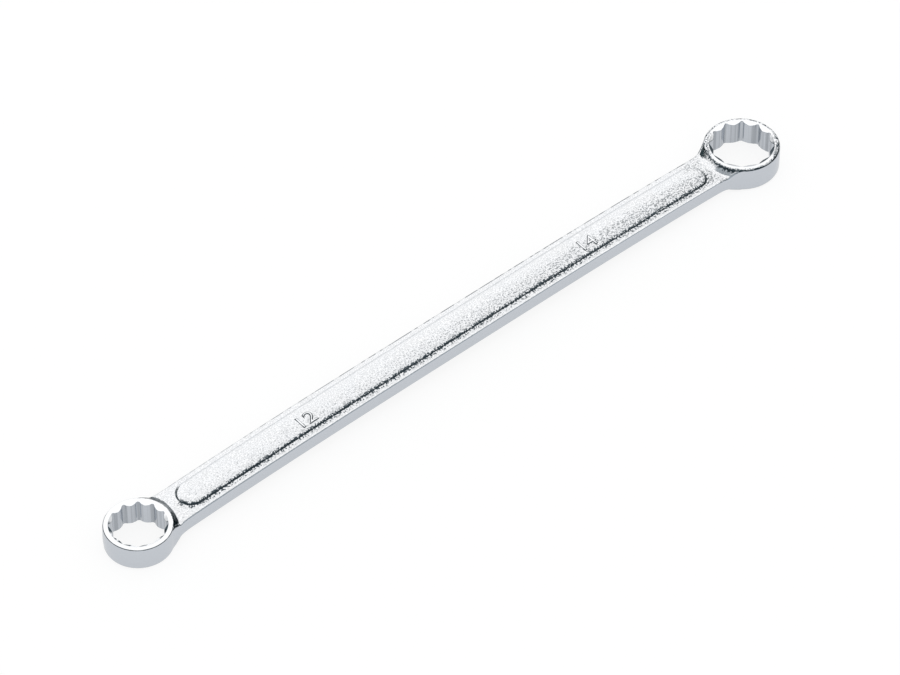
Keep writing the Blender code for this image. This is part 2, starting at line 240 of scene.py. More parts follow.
def ramp(head, reach, level):
    """Height of the neck's top at a distance from the ring's centre, from the ring's face down to its own level."""
    tilt = math.radians(head.ramp_tilt)
    face = head.top - RAMP_SINK
    foot = level - head.ramp_dip
    bends = (head.ramp_bend + head.ramp_hollow) * (1 - math.cos(tilt))
    straight = max(0.0, face - foot - bends) / math.tan(tilt)
    crest = head.ramp_start + head.ramp_bend * math.sin(tilt)
    hollow = crest + straight
    end = hollow + head.ramp_hollow * math.sin(tilt)
    if reach <= head.ramp_start:
        return face
    if reach <= crest:
        return face - head.ramp_bend + math.sqrt(head.ramp_bend ** 2 - (reach - head.ramp_start) ** 2)
    if reach <= hollow:
        return face - head.ramp_bend * (1 - math.cos(tilt)) - (reach - crest) * math.tan(tilt)
    if reach <= end:
        return foot + head.ramp_hollow - math.sqrt(head.ramp_hollow ** 2 - (end - reach) ** 2)
    share = min(1.0, (reach - end) / DIP_RUN)
    return foot + head.ramp_dip * (3 - 2 * share) * share ** 2


def fillet_centre(head):
    up = SHANK_WIDTH / 2 + head.fillet
    along = math.sqrt((ring_radius(head) - NECK_BITE + head.fillet) ** 2 - up ** 2)
    return along, up


def half_width(x):
    """Half the shank's width at x, which flares into the necks."""
    wide = SHANK_WIDTH / 2
    for head in (HEAD_12, HEAD_14):
        short = fillet_centre(head)[0] - head.inward * (x - centre(head))
        if short > 0:
            wide += head.fillet - math.sqrt(head.fillet ** 2 - short ** 2)
    return wide


def neck_face(head, reach, y, side):
    """Height of the neck's top (side 1) or underside (side -1) at a place in the ring's own axes."""
    lift = arch(centre(head) + head.inward * reach)
    top = SHANK_LEVEL + SHANK_THICKNESS / 2 + lift
    climbed = ramp(head, math.hypot(reach, y), top)
    if side > 0:
        return climbed
    bottom = top - SHANK_THICKNESS
    return bottom - (climbed - top) * (bottom - RAMP_SINK) / (head.top - top)


def neck_section(head, axis_reach, side_reach, half, share):
    """A closed outline round the neck: over its top, down one side, back along its underside and up again."""
    spread = [2 * i / NECK_ACROSS - 1 for i in range(NECK_ACROSS + 1)]
    reaches = [axis_reach + (side_reach - axis_reach) * s ** 2 for s in spread]
    edge = SHANK_EDGE
    flats = {}
    for side in (1, -1):
        z = neck_face(head, side_reach, half, side)
        flats[side] = half - edge - wall_draft(head, z) * share
    top = [(r, s * flats[1], neck_face(head, r, s * flats[1], 1)) for r, s in zip(reaches, spread)]
    bottom = [(r, s * flats[-1], neck_face(head, r, s * flats[-1], -1)) for r, s in zip(reaches, spread)]
    high, low = top[-1][2] - edge, bottom[-1][2] + edge
    walls = bend((flats[1], high), edge, 90, 0, ROUND_STEPS)[1:]
    for i in range(1, SIDE_ROWS):
        z = high + (low - high) * i / SIDE_ROWS
        walls.append((half - wall_draft(head, z) * share, z))
    walls += bend((flats[-1], low), edge, 0, -90, ROUND_STEPS)[:-1]
    outline = top + [(side_reach, y, z) for y, z in walls] + bottom[::-1]
    outline += [(side_reach, -y, z) for y, z in reversed(walls)]
    return [Vector((centre(head) + head.inward * x, y, z)) for x, y, z in outline]


def neck(head):
    """The neck from the butt face into the ring's wall, with the ramp up to the ring's face."""
    along, up = fillet_centre(head)
    butt = ring_radius(head) + NECK_LENGTH
    root = head.ramp_start - NECK_ROOT
    first = -90 - math.degrees(math.asin(max(0.0, along - butt) / head.fillet))
    lean = math.degrees(math.atan2(up, along))
    side = bend((along, up), head.fillet, first, lean - 180, NECK_STATIONS)
    side.append(bend((0, 0), ring_radius(head) - NECK_BITE - NECK_ROOT, lean, lean + 1, 1)[0])
    loops = []
    for i, (reach, half) in enumerate(side):
        share = min(1.0, i / NECK_STATIONS)
        loops.append(neck_section(head, butt + (root - butt) * share, reach, half, share))
    flats = [point.y for point in loops[-1][:NECK_ACROSS + 1]]
    wall = 2 * ROUND_STEPS + SIDE_ROWS - 1
    across = flats + flats[-1:] * wall + flats[::-1] + flats[:1] * wall
    loops.append([Vector((point.x, y, head.top / 2)) for point, y in zip(loops[-1], across)])
    return lofted("neck_" + head.size, loops, "first")


def stadium(first, last, radius):
    """A long outline with round ends: right end, back straight, left end, front straight."""
    points = []
    quarter = CORNER_STEPS + END_STEPS
    for i in range(-quarter, quarter):
        a = math.radians(90 * i / quarter)
        points.append((last + radius * math.cos(a), radius * math.sin(a)))
    for i in range(SIDE_STATIONS):
        points.append((last + (first - last) * i / SIDE_STATIONS, radius))
    for i in range(-quarter, quarter):
        a = math.radians(180 + 90 * i / quarter)
        points.append((first + radius * math.cos(a), radius * math.sin(a)))
    for i in range(SIDE_STATIONS):
        points.append((first + (last - first) * i / SIDE_STATIONS, -radius))
    return points


def bar_outline(first, last, inset):
    """The shank's plan with as many points as the stadium, drawn in at the sides."""
    left = centre(HEAD_12) + ring_radius(HEAD_12) + NECK_LENGTH
    right = centre(HEAD_14) - ring_radius(HEAD_14) - NECK_LENGTH
    points = []

    def end(at, straight, sign):
        half = half_width(at) - inset
        out = []
        for i in range(-(CORNER_STEPS + END_STEPS), CORNER_STEPS + END_STEPS):
            if abs(i) <= END_STEPS:
                out.append((at, sign * half * i / END_STEPS))
            else:
                share = (abs(i) - END_STEPS) / CORNER_STEPS
                x = at + (straight - at) * share
                out.append((x, sign * math.copysign(half_width(x) - inset, i)))
        return out

    points += end(right, last, 1)
    for i in range(SIDE_STATIONS):
        x = last + (first - last) * i / SIDE_STATIONS
        points.append((x, half_width(x) - inset))
    points += end(left, first, -1)
    for i in range(SIDE_STATIONS):
        x = first + (last - first) * i / SIDE_STATIONS
        points.append((x, -half_width(x) + inset))
    return points


def panel_ends():
    """Centres of the panel's two round ends."""
    first = centre(HEAD_12) + ring_radius(HEAD_12) + PANEL_GAP + PANEL_WIDTH / 2
    last = centre(HEAD_14) - ring_radius(HEAD_14) - PANEL_GAP - PANEL_WIDTH / 2
    return first, last


def shank():
    first, last = panel_ends()
    half = SHANK_THICKNESS / 2
    foot = PANEL_WIDTH / 2
    tilt = math.radians(PANEL_TILT)
    edge = foot - PANEL_WALL / math.tan(tilt) - PANEL_RIM * math.tan(tilt / 2)
    rows = []
    for i in range(CROWN_ROWS + 1):
        radius = edge * i / CROWN_ROWS
        rows.append((stadium(first, last, radius), half + PANEL_WALL + PANEL_CROWN * (1 - (radius / edge) ** 2)))
    for radius, z in bend((edge, half + PANEL_WALL - PANEL_RIM), PANEL_RIM, 90, 90 - PANEL_TILT, RIM_ROWS)[1:]:
        rows.append((stadium(first, last, radius), z))
    end = foot + PANEL_FOOT * math.tan(tilt / 2)
    for radius, z in bend((end, half + PANEL_FOOT), PANEL_FOOT, 270 - PANEL_TILT, 270, ROUND_STEPS):
        rows.append((stadium(first, last, radius), z))
    inner = stadium(first, last, end)
    outer = bar_outline(first, last, SHANK_EDGE)
    for i in range(1, FLANGE_ROWS + 1):
        share = i / FLANGE_ROWS
        outline = [(a[0] + (b[0] - a[0]) * share, a[1] + (b[1] - a[1]) * share) for a, b in zip(inner, outer)]
        rows.append((outline, half))
    for inset, z in bend((SHANK_EDGE, half - SHANK_EDGE), SHANK_EDGE, 90, 180, 2 * ROUND_STEPS)[1:]:
        rows.append((bar_outline(first, last, inset), z))
    for i in range(1, SIDE_ROWS + 1):
        rows.append((bar_outline(first, last, 0), (half - SHANK_EDGE) * (1 - i / SIDE_ROWS)))
    rows += [(outline, -z) for outline, z in reversed(rows[:-1])]
    loops = [[Vector((x, y, SHANK_LEVEL + z + arch(x))) for x, y in outline] for outline, z in rows]
    return lofted("shank_bar", loops, "both")


def panel_top(x, y):
    """Height of the upper panel's crown at a place."""
    tilt = math.radians(PANEL_TILT)
    edge = PANEL_WIDTH / 2 - PANEL_WALL / math.tan(tilt) - PANEL_RIM * math.tan(tilt / 2)
    return SHANK_LEVEL + SHANK_THICKNESS / 2 + arch(x) + PANEL_WALL + PANEL_CROWN * (1 - (y / edge) ** 2)


def figures(head, place):
    """The nut size in raised figures with rounded edges, which follow the panel's crown."""
    bpy.ops.object.select_all(action="DESELECT")
    bpy.ops.object.text_add(location=(0, 0, 0))
    item = bpy.context.object
    item.name = "figures_" + head.size
    item.data.body = head.size
    item.data.align_x = "CENTER"
    item.data.size = FIGURE_HEIGHT / CAP_SHARE
    item.data.extrude = FIGURE_RELIEF
    item.data.bevel_depth = FIGURE_ROUND
    item.data.offset = -FIGURE_ROUND / 2
    item.data.bevel_resolution = 2
    bpy.ops.object.convert(target="MESH")
    item = bpy.context.object
    xs = [vertex.co.x for vertex in item.data.vertices]
    stretch = FIGURE_WIDTH / (max(xs) - min(xs))
    middle = centre(head) + head.inward * place
    for vertex in item.data.vertices:
        vertex.co.x = middle + (vertex.co.x - (max(xs) + min(xs)) / 2) * stretch
        vertex.co.y -= FIGURE_OFFSET + FIGURE_HEIGHT / 2
        vertex.co.z += panel_top(vertex.co.x, vertex.co.y) - FIGURE_ROUND
    return item


def smoothed(item, degrees=40):
    bpy.ops.object.select_all(action="DESELECT")
    bpy.context.view_layer.objects.active = item
    item.select_set(True)
    bpy.ops.object.shade_smooth_by_angle(angle=math.radians(degrees))
    return item


# The photograph's viewing angle
CAMERA_TURN = math.radians(41.152)
CAMERA_DIP = math.radians(46.070)
CAMERA_REACH = 1.23989
CAMERA_AIM = (-0.892 * MM, -0.085 * MM, 3.3 * MM)
CAMERA_LENS = 204.87

# The silk tent that lights the set, with a pale hem behind, darker cloth beside it and the dim room in front. Each
# reaches up to an elevation in degrees, and the last two reach back to a share of their radius behind the middle.
TENT_RADIUS = 2.4
CLOTH_RADIUS = 2.35
ROOM_RADIUS = 2.3
TENT_HEM = 26
TENT_TOP = 90
ROOM_TOP = 62
CLOTH_SHARE = 0.82
ROOM_SHARE = -0.15
SILK_COLOUR = (1, 1, 1)
SILK_LIGHT = 1.36
HEM_COLOUR = (0.98, 0.99, 1)
HEM_LIGHT = 1.22
CLOTH_COLOUR = (0.35, 0.85, 1)
CLOTH_LIGHT = 0.045
ROOM_COLOUR = (0.86, 0.94, 1)
ROOM_LIGHT = 0.52
SOFT_LIGHT = 0.9

# The floor's paper, how far under the tool it lies, and the shade on its front in what the chrome mirrors
FLOOR_SIZE = 6
FLOOR_DROP = 0.02 * MM
FLOOR_TONE = (0.16, 0.16, 0.16, 1)
FLOOR_GLOW = 0.85
FRONT_SHADE = 0.2
FRONT_FADE = (40 * MM, 10 * MM)


def camera():
    away = Vector((math.sin(CAMERA_TURN), math.cos(CAMERA_TURN), 0))
    right = Vector((math.cos(CAMERA_TURN), -math.sin(CAMERA_TURN), 0))
    forward = away * math.cos(CAMERA_DIP) - Vector((0, 0, math.sin(CAMERA_DIP)))
    up = right.cross(forward)
    data = bpy.data.cameras.new("camera")
    data.lens = CAMERA_LENS
    data.sensor_width = 36
    data.clip_start = 0.05
    data.clip_end = 50
    item = bpy.data.objects.new("camera", data)
    bpy.context.scene.collection.objects.link(item)
    place = Matrix((right, up, -forward)).transposed().to_4x4()
    place.translation = Vector(CAMERA_AIM) - forward * CAMERA_REACH
    item.matrix_world = place
    bpy.context.scene.camera = item


def node(tree, kind, **values):
    made = tree.nodes.new(kind)
    for name, value in values.items():
        setattr(made, name, value)
    return made


def seen_by_eye(tree):
    """1 for rays from the camera and for mirror and clear rays, else 0."""
    path = node(tree, "ShaderNodeLightPath")
    total = node(tree, "ShaderNodeMath", operation="ADD")
    tree.links.new(path.outputs["Is Camera Ray"], total.inputs[0])
    tree.links.new(path.outputs["Is Glossy Ray"], total.inputs[1])
    more = node(tree, "ShaderNodeMath", operation="ADD", use_clamp=True)
    tree.links.new(total.outputs[0], more.inputs[0])
    tree.links.new(path.outputs["Is Transmission Ray"], more.inputs[1])
    return more.outputs[0]


def emission(tree, colour, strength):
    shader = node(tree, "ShaderNodeEmission")
    shader.inputs["Color"].default_value = (*colour, 1)
    shader.inputs["Strength"].default_value = strength
    return shader


def world():
    made = bpy.data.worlds.new("studio")
    bpy.context.scene.world = made
    made.use_nodes = True
    tree = made.node_tree
    tree.nodes.clear()
    out = node(tree, "ShaderNodeOutputWorld")
    soft = node(tree, "ShaderNodeBackground")
    soft.inputs["Color"].default_value = (1, 1, 1, 1)
    soft.inputs["Strength"].default_value = SOFT_LIGHT
    white = node(tree, "ShaderNodeBackground")
    white.inputs["Color"].default_value = (1, 1, 1, 1)
    white.inputs["Strength"].default_value = 1.0
    mix = node(tree, "ShaderNodeMixShader")
    tree.links.new(seen_by_eye(tree), mix.inputs[0])
    tree.links.new(soft.outputs[0], mix.inputs[1])
    tree.links.new(white.outputs[0], mix.inputs[2])
    tree.links.new(mix.outputs[0], out.inputs[0])


def floor():
    bpy.ops.object.select_all(action="DESELECT")
    bpy.ops.mesh.primitive_plane_add(size=FLOOR_SIZE, location=(0, 0, -FLOOR_DROP))
    item = bpy.context.object
    item.name = "floor"
    material = bpy.data.materials.new("floor_paper")
    material.use_nodes = True
    tree = material.node_tree
    shader = tree.nodes["Principled BSDF"]
    shader.inputs["Base Color"].default_value = FLOOR_TONE
    shader.inputs["Roughness"].default_value = 0.9
    shader.inputs["Specular IOR Level"].default_value = 0.1
    shader.inputs["Emission Color"].default_value = (1, 1, 1, 1)
    split = node(tree, "ShaderNodeSeparateXYZ")
    tree.links.new(node(tree, "ShaderNodeTexCoord").outputs["Object"], split.inputs[0])
    front = stepped(tree, split.outputs["Y"], FRONT_FADE, 0.0, FRONT_SHADE)
    front = math_node(tree, "MULTIPLY", front, node(tree, "ShaderNodeLightPath").outputs["Is Glossy Ray"])
    lift = math_node(tree, "SUBTRACT", math_node(tree, "MULTIPLY", seen_by_eye(tree), FLOOR_GLOW), front)
    tree.links.new(lift, shader.inputs["Emission Strength"])
    item.data.materials.append(material)


def surround(name, material_name, colour, strength, radius, low, high, share=1.0):
    """A zone of a large sphere round the set, from one elevation to another, seen only in the chrome. What lies
    further behind the set than a share of its radius is cut away."""
    bpy.ops.object.select_all(action="DESELECT")
    bpy.ops.mesh.primitive_uv_sphere_add(segments=96, ring_count=90, radius=radius)
    item = bpy.context.object
    item.name = name
    bpy.ops.object.mode_set(mode="EDIT")
    away = (math.sin(CAMERA_TURN), math.cos(CAMERA_TURN), 0)
    cuts = [((0, 0, radius * math.sin(math.radians(low))), (0, 0, -1))]
    cuts.append(((0, 0, radius * math.sin(math.radians(high))), (0, 0, 1)))
    cuts.append(([radius * share * a for a in away], away))
    for place, direction in cuts:
        bpy.ops.mesh.select_all(action="SELECT")
        bpy.ops.mesh.bisect(plane_co=place, plane_no=direction, clear_outer=True)
    bpy.ops.object.mode_set(mode="OBJECT")
    for ray in ("camera", "diffuse", "shadow", "transmission"):
        setattr(item, "visible_" + ray, False)
    material = bpy.data.materials.new(material_name)
    material.use_nodes = True
    tree = material.node_tree
    tree.nodes.remove(tree.nodes["Principled BSDF"])
    tree.links.new(emission(tree, colour, strength).outputs[0], tree.nodes["Material Output"].inputs[0])
    item.data.materials.append(material)


def new_group(name, inputs, outputs):
    """An empty node group. An input with no value is a vector, and an output called Color is a colour."""
    tree = bpy.data.node_groups.new(name, "ShaderNodeTree")
    for socket, value in inputs.items():
        kind = "NodeSocketVector" if value is None else "NodeSocketFloat"
        made = tree.interface.new_socket(socket, in_out="INPUT", socket_type=kind)
        if value is not None:
            made.default_value = value
    for socket in outputs:
        kind = "NodeSocketColor" if socket == "Color" else "NodeSocketFloat"
        tree.interface.new_socket(socket, in_out="OUTPUT", socket_type=kind)
    return tree, node(tree, "NodeGroupInput"), node(tree, "NodeGroupOutput")


def math_node(tree, operation, a, b=None, clamp=False):
    made = node(tree, "ShaderNodeMath", operation=operation, use_clamp=clamp)
    for socket, value in zip(made.inputs, (a, b)):
        if value is None:
            continue
        if isinstance(value, (int, float)):
            socket.default_value = value
        else:
            tree.links.new(value, socket)
    return made.outputs[0]


def chained(tree, operation, values):
    total = values[0]
    for value in values[1:]:
        total = math_node(tree, operation, total, value)
    return total


def product(tree, *values):
    return chained(tree, "MULTIPLY", values)


def largest(tree, *values):
    return chained(tree, "MAXIMUM", values)


def absolute(tree, value):
    return math_node(tree, "ABSOLUTE", value)


def stepped(tree, value, span, start=0.0, end=1.0):
    """Carried smoothly from start to end as the value goes over the span."""
    made = node(tree, "ShaderNodeMapRange", interpolation_type="SMOOTHSTEP")
    for socket, number in zip(("From Min", "From Max", "To Min", "To Max"), (*span, start, end)):
        made.inputs[socket].default_value = number
    tree.links.new(value, made.inputs["Value"])
    return made.outputs["Result"]


def between(tree, value, band, soft):
    """1 where the value lies in a band, and 0 outside it."""
    low, high = band
    return product(tree, stepped(tree, value, (low - soft, low + soft)),
                   stepped(tree, value, (high + soft, high - soft)))


def noise(tree, vector, scale, detail, rough=0.5):
    made = node(tree, "ShaderNodeTexNoise")
    made.inputs["Scale"].default_value = scale
    made.inputs["Detail"].default_value = detail
    made.inputs["Roughness"].default_value = rough
    tree.links.new(vector, made.inputs["Vector"])
    return made.outputs[0]


def joined(tree, x, y):
    """A flat vector made of two values."""
    made = node(tree, "ShaderNodeCombineXYZ")
    for socket, value in zip(("X", "Y"), (x, y)):
        tree.links.new(value, made.inputs[socket])
    return made.outputs[0]


def split_up(tree, vector):
    made = node(tree, "ShaderNodeSeparateXYZ")
    tree.links.new(vector, made.inputs[0])
    return made.outputs


# The finish. Its pairs say where an effect starts and where it is full: a distance from a ring's axis, along or
# across the shank or out from the foot of the panel's wall, or how level the surface is, from 0 upright to 1 flat.
# The pairs written out in the functions are headings, from -1 to 1, levels, or values of the noise.
# Steel on steep sides, darker and bluer as painted shade, and on faces that look up or down
STEEL_SIDES_PAINTED_SHADE = (0.675, 0.71, 0.76, 1)
STEEL_TOPS = (0.76, 0.765, 0.775, 1)
# The dark colour of the grain's pits and of the painted shade and painted dark reflections
PIT_AND_PAINTED_SHADE_COLOUR = (0.02, 0.035, 0.045, 1)
TINT_TOPS = (0.35, 0.8)
TONE_SHARE = 0.15
TONE_SCALE = 260
GLOSS = (0.11, 0.16)
GLOSS_SCALE = 90

# Blasted grain and its haze
GRAIN_DEPTH = 0.07 * MM
GRAIN_SCALE = 2300
GRAIN_GLOSS = 0.06
GRAIN_ALONG = (-100 * MM, 75 * MM)
GRAIN_ACROSS = (3.4 * MM, -1.5 * MM)
GRAIN_NECK = (74 * MM, 82 * MM)
GRAIN_EDGE = (5.0 * MM, 4.7 * MM)
GRAIN_FLARE = (80 * MM, 86 * MM)
GRAIN_RINGS = {"12": (9.6 * MM, 10.3 * MM), "14": (11.0 * MM, 12.0 * MM)}
GRAIN_TOPS = (0.3, 0.5)
PIT_EDGE = 0.035
HAZE_SCALE = 3300
HAZE = 0.22
HAZE_TOPS = (0.4, 0.6)

# Directions seen from a ring's centre: where the large ring's face is rough, and the front of the tool
RIM_SIDE = math.radians(137)
FRONT_SIDE = math.radians(229)

# Where the large ring's roughness starts, round most of its rim and at its two rough sides, and where it fades out
RIM_START = (8.9 * MM, 7.4 * MM)
RIM_END = (10.4 * MM, 9.8 * MM)

# Painted dark reflections on the panel's border, round the large ring's joint, on the small ring's ramp and rim and
# along the shank's back edge, and painted shade on the figures' sides and in the bores
PAINTED_SHADE_TOPS = (0.4, 0.5)
RAGGED = 1.9 * MM
BLOTCH_SCALE = 520
PANEL_BAND = (-0.95 * MM, 0.5 * MM)
PANEL_FRONT = (1.0 * MM, -0.8 * MM)
PANEL_STEEP = (1.02, 0.88)
PANEL_ROUGH = 1.8
PANEL_SOFT_SHADE = (-1.6 * MM, 1.0 * MM)
PANEL_SOFT_SHADE_FRONT = (0.5 * MM, -2.0 * MM)
JOINT_INNER = 9.25 * MM
JOINT_BACK = 8.75 * MM
JOINT_SIDE = 8.5 * MM
JOINT_OUTER = (9.75 * MM, 10.05 * MM)
RAMP_INNER = (8.07 * MM, 8.23 * MM)
RAMP_OUTER = (9.4 * MM, 10.1 * MM)
RAMP_ENDS = (3.9 * MM, 5.6 * MM)
SCORE_SCALE = 2700
SCORE_STRETCH = 0.16
RIM_LINE = (8.12 * MM, 8.2 * MM)
RIM_LINE_END = (8 * MM, 7 * MM)
BACK_START = (4.6 * MM, 4.9 * MM)
BACK_LINE = (5.0 * MM, 5.15 * MM)
BACK_STRAIGHT = (82 * MM, 78 * MM)
BACK_END = (85 * MM, 84 * MM)
BACK_ALONG = (-90 * MM, 0)
BACK_TOPS = (0.5, 0.65)
FIGURE_SIDES = (0.995, 0.93)
BORE_EDGE = (0.14 * MM, 0.06 * MM)
BORE_WALLS = (0.4, 0.2)
STREAK_SCALE = 9


def ring_reach(tree, axes, head):
    """Distance from a ring's axis."""
    across = math_node(tree, "SUBTRACT", axes["X"], centre(head))
    squares = math_node(tree, "ADD", product(tree, across, across), product(tree, axes["Y"], axes["Y"]))
    return math_node(tree, "SQRT", squares)


def panel_reach(tree, axes):
    """Distance outwards from the foot of the panel's wall."""
    first, last = panel_ends()
    along = absolute(tree, math_node(tree, "SUBTRACT", axes["X"], (first + last) / 2))
    beyond = math_node(tree, "MAXIMUM", math_node(tree, "SUBTRACT", along, (last - first) / 2), 0.0)
    squares = math_node(tree, "ADD", product(tree, beyond, beyond), product(tree, axes["Y"], axes["Y"]))
    return math_node(tree, "SUBTRACT", math_node(tree, "SQRT", squares), PANEL_WIDTH / 2)


def heading(tree, axes, head, reach, turn):
    """1 on one side of a ring, in the direction turn, -1 on the far side and 0 between them."""
    across = math_node(tree, "SUBTRACT", axes["X"], centre(head))
    along = math_node(tree, "ADD", math_node(tree, "MULTIPLY", across, math.cos(turn)),
                      math_node(tree, "MULTIPLY", axes["Y"], math.sin(turn)))
    return math_node(tree, "DIVIDE", along, reach[head.size])


def grain_amount(tree, axes, level, reach):
    """How deep the blasted grain is: deepest in front and towards the large ring, and none beside the rings."""
    amount = product(tree, stepped(tree, axes["X"], GRAIN_ALONG, 0.5), stepped(tree, axes["Y"], GRAIN_ACROSS, 0.1))
    amount = largest(tree, amount, stepped(tree, axes["X"], GRAIN_NECK, 0.0, 0.8))
    inside = largest(tree, stepped(tree, absolute(tree, axes["Y"]), GRAIN_EDGE),
                     stepped(tree, absolute(tree, axes["X"]), GRAIN_FLARE))
    clear = [stepped(tree, reach[size], span) for size, span in GRAIN_RINGS.items()]
    return product(tree, amount, inside, stepped(tree, level, GRAIN_TOPS), *clear)


def rough_rim(tree, axes, level, reach):
    """The roughness round the large ring's rim, which spreads over its face at two sides."""
    side = absolute(tree, heading(tree, axes, HEAD_14, reach, RIM_SIDE))
    inner = stepped(tree, side, (0.85, 0.97), *RIM_START)
    past = math_node(tree, "SUBTRACT", reach["14"], inner)
    return product(tree, stepped(tree, past, (-0.2 * MM, 0.2 * MM)), stepped(tree, reach["14"], RIM_END),
                   stepped(tree, level, GRAIN_TOPS, 0.0, 0.75))


def pits(tree, fine, amount):
    """The grain's deepest pits, which look dark."""
    depth = math_node(tree, "ADD", math_node(tree, "MULTIPLY", amount, 0.16), 0.32)
    deepest = stepped(tree, math_node(tree, "SUBTRACT", depth, fine), (-PIT_EDGE, PIT_EDGE))
    strength = math_node(tree, "ADD", math_node(tree, "MULTIPLY", amount, 0.5), 0.2)
    return product(tree, deepest, stepped(tree, amount, (0.0, 0.1)), strength)


def panel_painted_shade(tree, axes, level, stray, ragged):
    """Painted dark reflection: the ragged dark band on the front of the panel's wall, with a softer painted shade on
    both sides of it.
    """
    foot = math_node(tree, "ADD", panel_reach(tree, axes), ragged)
    rugged = math_node(tree, "ADD", level, math_node(tree, "MULTIPLY", stray, PANEL_ROUGH))
    band = product(tree, between(tree, foot, PANEL_BAND, 0.1 * MM), stepped(tree, rugged, PANEL_STEEP, 0.0, 0.96),
                   stepped(tree, axes["Y"], PANEL_FRONT))
    soft_shade = product(tree, between(tree, foot, PANEL_SOFT_SHADE, 0.3 * MM), stepped(tree, axes["Y"], PANEL_SOFT_SHADE_FRONT),
                   stepped(tree, stray, (0.12, -0.12), 0.0, 0.42))
    return largest(tree, band, soft_shade)


def joint_painted_reflection(tree, axes, level, reach, stray, ragged):
    """A painted dark reflection: the rough dark line round the large ring's rim, unbroken where the neck joins it."""
    front = heading(tree, axes, HEAD_14, reach, FRONT_SIDE)
    side = absolute(tree, heading(tree, axes, HEAD_14, reach, RIM_SIDE))
    inner = math_node(tree, "MINIMUM", stepped(tree, front, (0.0, -0.7), JOINT_INNER, JOINT_BACK),
                      stepped(tree, side, (0.85, 0.98), JOINT_INNER, JOINT_SIDE))
    outer = stepped(tree, front, (0.55, 0.95), *JOINT_OUTER)
    far = math_node(tree, "ADD", reach["14"], ragged)
    line = product(tree, stepped(tree, math_node(tree, "SUBTRACT", far, inner), (-0.1 * MM, 0.1 * MM)),
                   stepped(tree, math_node(tree, "SUBTRACT", far, outer), (0.1 * MM, -0.1 * MM)))
    whole = largest(tree, stepped(tree, stray, (0.05, -0.03)), stepped(tree, front, (0.1, 0.5)))
    return product(tree, line, whole, stepped(tree, level, PAINTED_SHADE_TOPS, 0.0, 0.97))


def ramp_painted_reflection(tree, axes, level, reach, ragged, front):
    """A painted dark reflection on the ramp beside the small ring, in scored streaks."""
    rings = joined(tree, reach["12"], math_node(tree, "MULTIPLY", axes["Y"], SCORE_STRETCH))
    scored = noise(tree, rings, SCORE_SCALE, 2)
    far = math_node(tree, "ADD", reach["12"], math_node(tree, "MULTIPLY", ragged, 0.4))
    past = math_node(tree, "SUBTRACT", far, stepped(tree, front, (-0.5, -0.97), *RAMP_OUTER))
    return product(tree, stepped(tree, far, RAMP_INNER), stepped(tree, level, PAINTED_SHADE_TOPS),
                   stepped(tree, scored, (0.36, 0.62), 1.0, 0.72), stepped(tree, past, (0.08 * MM, -0.08 * MM)),
                   stepped(tree, axes["X"], [centre(HEAD_12) + end for end in RAMP_ENDS]))


def rim_painted_reflection(tree, axes, level, reach, slow, front):
    """A painted dark reflection: the dark line along the front of the small ring's rim."""
    return product(tree, stepped(tree, reach["12"], RIM_LINE, 0.0, 0.8), between(tree, level, (0.45, 0.975), 0.02),
                   stepped(tree, front, (-0.3, 0.2)), stepped(tree, slow, (0.36, 0.46), 0.6),
                   stepped(tree, axes["X"], [centre(HEAD_12) + end for end in RIM_LINE_END]))


def back_edge_painted_reflection(tree, axes, level, slow):
    """A painted dark reflection: the broken dark line along the shank's back edge."""
    length = absolute(tree, axes["X"])
    line = product(tree, stepped(tree, axes["Y"], BACK_LINE), stepped(tree, length, BACK_STRAIGHT))
    line = largest(tree, between(tree, level, (0.5, 0.985), 0.01), line)
    return product(tree, stepped(tree, axes["Y"], BACK_START, 0.0, 0.85), line, stepped(tree, level, BACK_TOPS),
                   stepped(tree, length, BACK_END), stepped(tree, slow, (0.42, 0.52)),
                   stepped(tree, axes["X"], BACK_ALONG, 0.4))


def bore_painted_shade(tree, axes, level, reach, head, slow):
    """Painted shade in streaks down a bore's facets, and a painted dark reflection on the bevel of its mouth, most of
    it at two sides.
    """
    inside = stepped(tree, reach[head.size], [corner_radius(head) + edge for edge in BORE_EDGE])
    across = math_node(tree, "SUBTRACT", axes["X"], centre(head))
    spoke = joined(tree, math_node(tree, "DIVIDE", across, reach[head.size]),
                   math_node(tree, "DIVIDE", axes["Y"], reach[head.size]))
    streaks = product(tree, stepped(tree, noise(tree, spoke, STREAK_SCALE, 2), (0.38, 0.64), 0.02, 0.34),
                      stepped(tree, level, BORE_WALLS))
    side = absolute(tree, heading(tree, axes, head, reach, RIM_SIDE))
    front = heading(tree, axes, head, reach, FRONT_SIDE)
    if head is HEAD_12:
        whole = stepped(tree, slow, (0.54, 0.46))
    else:
        whole = stepped(tree, front, (0.97, 0.85), 0.45)
    mouth_painted_reflection = largest(tree, product(tree, stepped(tree, side, (0.86, 0.95), 0.0, 0.97),
                                  stepped(tree, front, (-0.2, 0.0), 0.35)),
                    product(tree, stepped(tree, front, (0.1, 0.3), 0.0, 0.95), whole))
    bevel = product(tree, between(tree, level, (0.35, 0.985), 0.01), mouth_painted_reflection)
    return product(tree, inside, largest(tree, streaks, bevel))


